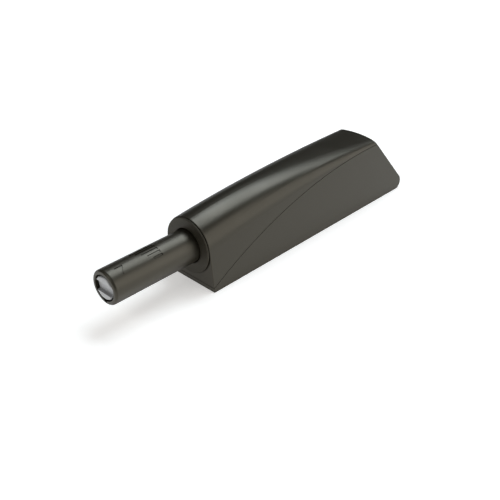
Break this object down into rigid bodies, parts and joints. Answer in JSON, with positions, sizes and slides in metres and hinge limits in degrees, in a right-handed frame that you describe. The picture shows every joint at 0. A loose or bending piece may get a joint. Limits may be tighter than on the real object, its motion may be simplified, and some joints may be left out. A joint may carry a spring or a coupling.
{
  "type": "push to open catch",
  "caption": "Push to open catch: a sprung magnetic-tip plunger in a round cartridge, held in a tapered screw-on adapter housing for a cabinet panel.",
  "frame": {"origin": "middle of the two screw holes, on the mounting face", "axes": "-Y the way the plunger points, +Y to the rear, X across, +Z away from the mounting face"},
  "size_m": [0.016, 0.095, 0.0177],
  "materials": {
    "housing_plastic": "satin moulded, fine grain",
    "cartridge_plastic": "satin moulded",
    "rubber": "matt",
    "spring_steel": "drawn wire",
    "pin_steel": "ground",
    "screw_metal": "zinc plated, turned",
    "magnet": "nickel plated",
    "brass": "turned"
  },
  "bodies": {
    "housing": {"adapter_base": "housing_plastic", "adapter_cover": "housing_plastic", "cartridge_tube": "cartridge_plastic", "front_collar": "housing_plastic", "buffer_ring": "rubber", "end_cap": "cartridge_plastic", "end_cap_pin": "pin_steel", "guide_rod": "pin_steel", "main_spring": "spring_steel", "leaf_spring": "spring_steel", "follower_pin": "pin_steel"},
    "plunger": {"plunger_tube": "housing_plastic", "thread_bush": "brass", "friction_ring": "rubber", "link_pin": "pin_steel", "cam_slide": "cartridge_plastic"},
    "follower": {"cam_follower": "spring_steel"},
    "tip_carrier": {"magnet_cup": "cartridge_plastic", "ring_magnet": "magnet"},
    "tip_screw": {"adjusting_screw": "screw_metal", "stop_ring": "pin_steel"}
  },
  "joints": [
    {"name": "plunger_slide", "type": "slide", "parent": "housing", "child": "plunger", "axis": [0, 1, 0], "range_m": [0, 0.02], "stiffness_N_per_m": 250, "springref_m": -0.012, "deforming": ["main_spring"]},
    {"name": "follower_swing", "type": "hinge", "parent": "housing", "child": "follower", "pos_m": [0, 0.0211, 0.0113], "axis": [0, 0, 1], "range_deg": [0, 3.56]},
    {"name": "tip_advance", "type": "slide", "parent": "plunger", "child": "tip_carrier", "axis": [0, -1, 0], "range_m": [0, 0.003]},
    {"name": "tip_turn", "type": "hinge", "parent": "tip_carrier", "child": "tip_screw", "pos_m": [0, -0.0558, 0.0091], "axis": [0, -1, 0], "range_deg": [0, 270]}
  ],
  "couplings": [
    {"joint": "follower_swing", "follows": "plunger_slide", "rad_per_m": 3.0993},
    {"joint": "tip_turn", "follows": "tip_advance", "rad_per_m": 1570.8}
  ]
}
